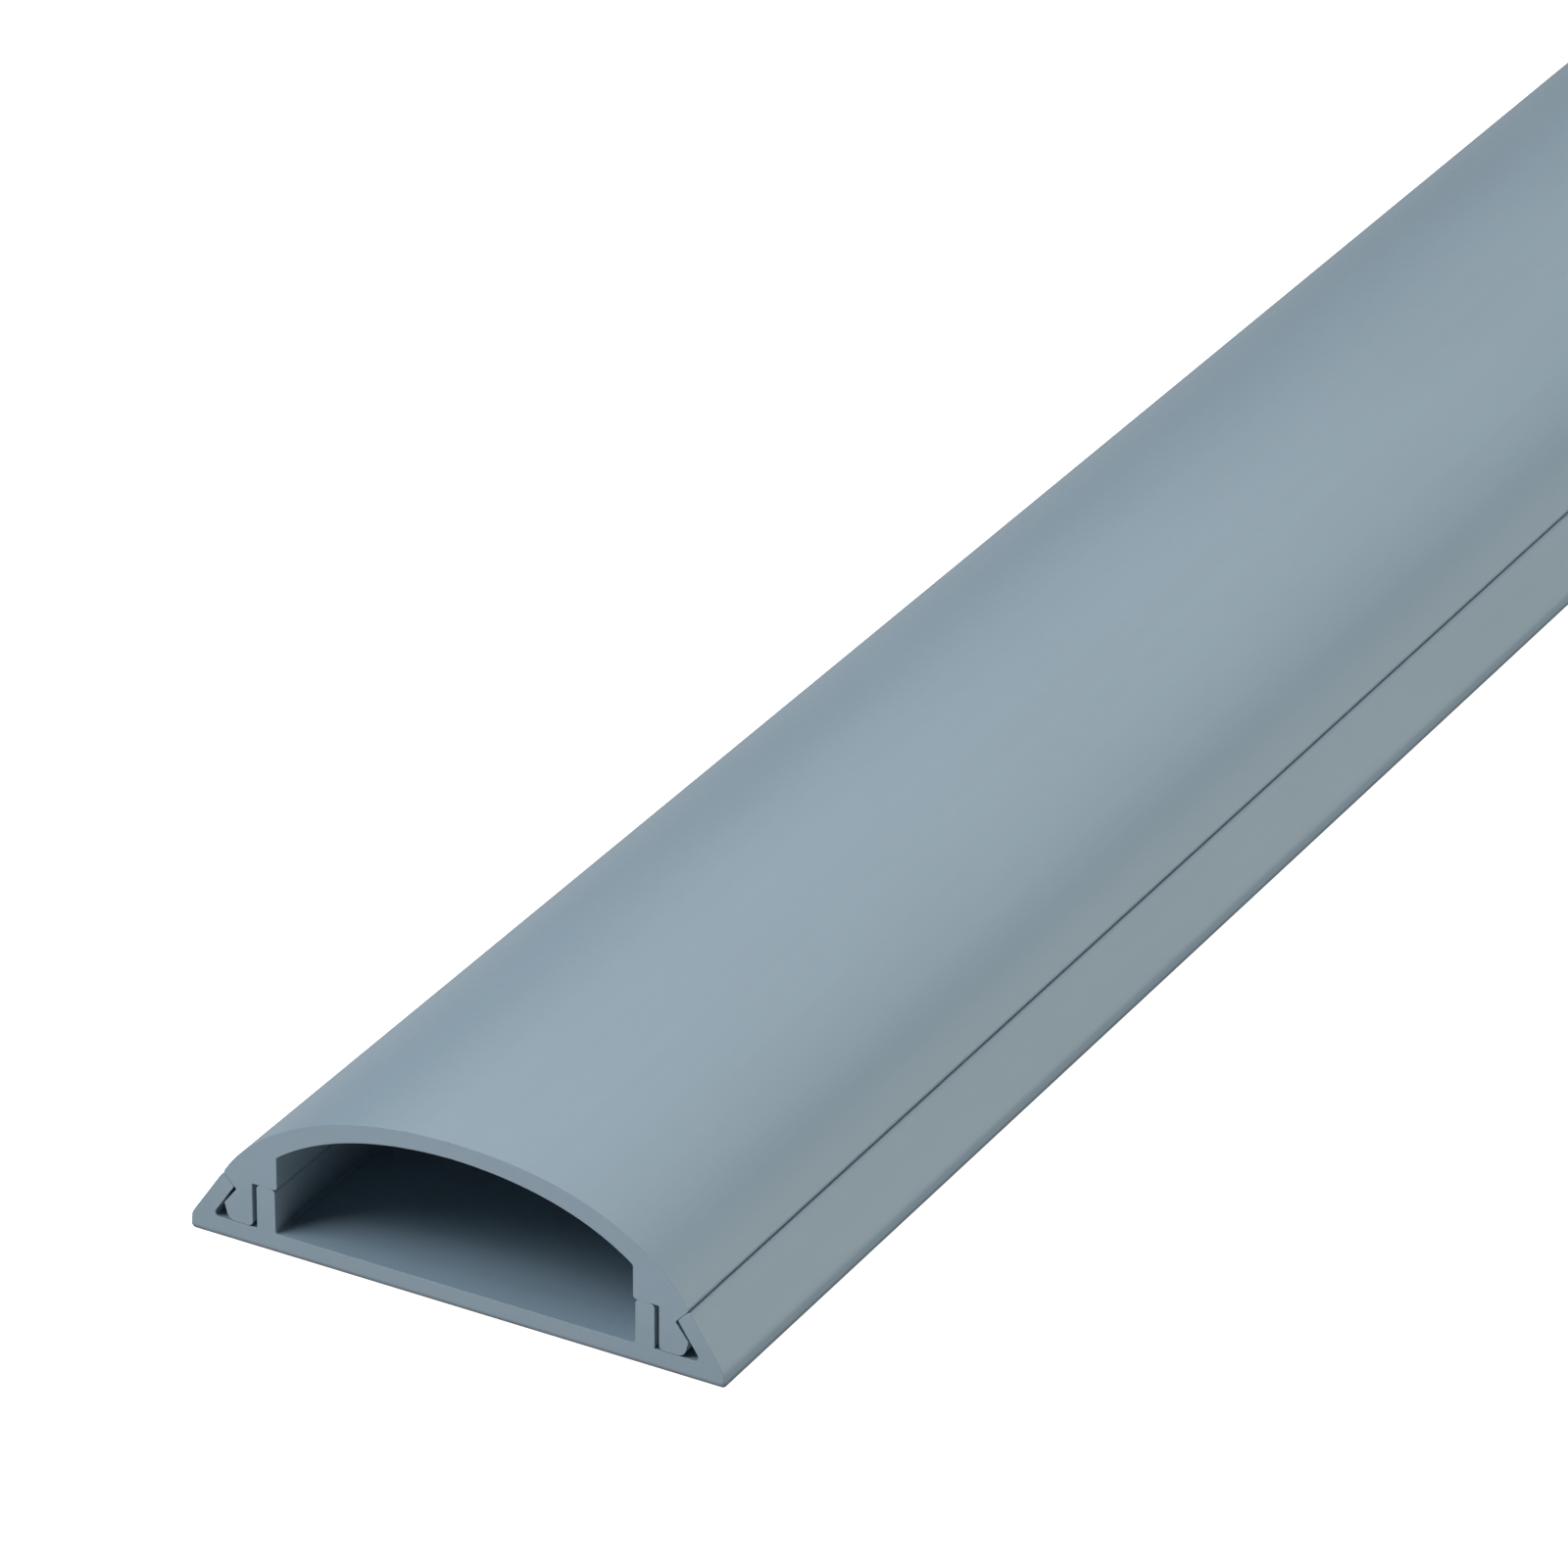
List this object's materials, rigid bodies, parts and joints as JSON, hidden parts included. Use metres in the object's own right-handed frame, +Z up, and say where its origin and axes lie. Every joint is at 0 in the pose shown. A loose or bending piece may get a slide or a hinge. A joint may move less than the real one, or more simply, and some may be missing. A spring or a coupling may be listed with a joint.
{
  "type": "floor cord cover",
  "caption": "Low domed floor trunking in rigid plastic: a clip-on cover rail over a flat base rail with sloped edges, open at both ends for cords.",
  "frame": {"origin": "middle of the flat underside, on the floor, half way along the length", "axes": "+X across the width, +Y along the length, +Z up from the floor through the crown of the dome"},
  "size_m": [0.06, 1, 0.0183],
  "materials": {
    "grey_pvc": "smooth satin blue-grey extruded plastic"
  },
  "bodies": {
    "root": {"base": "grey_pvc", "cover": "grey_pvc"}
  },
  "joints": []
}
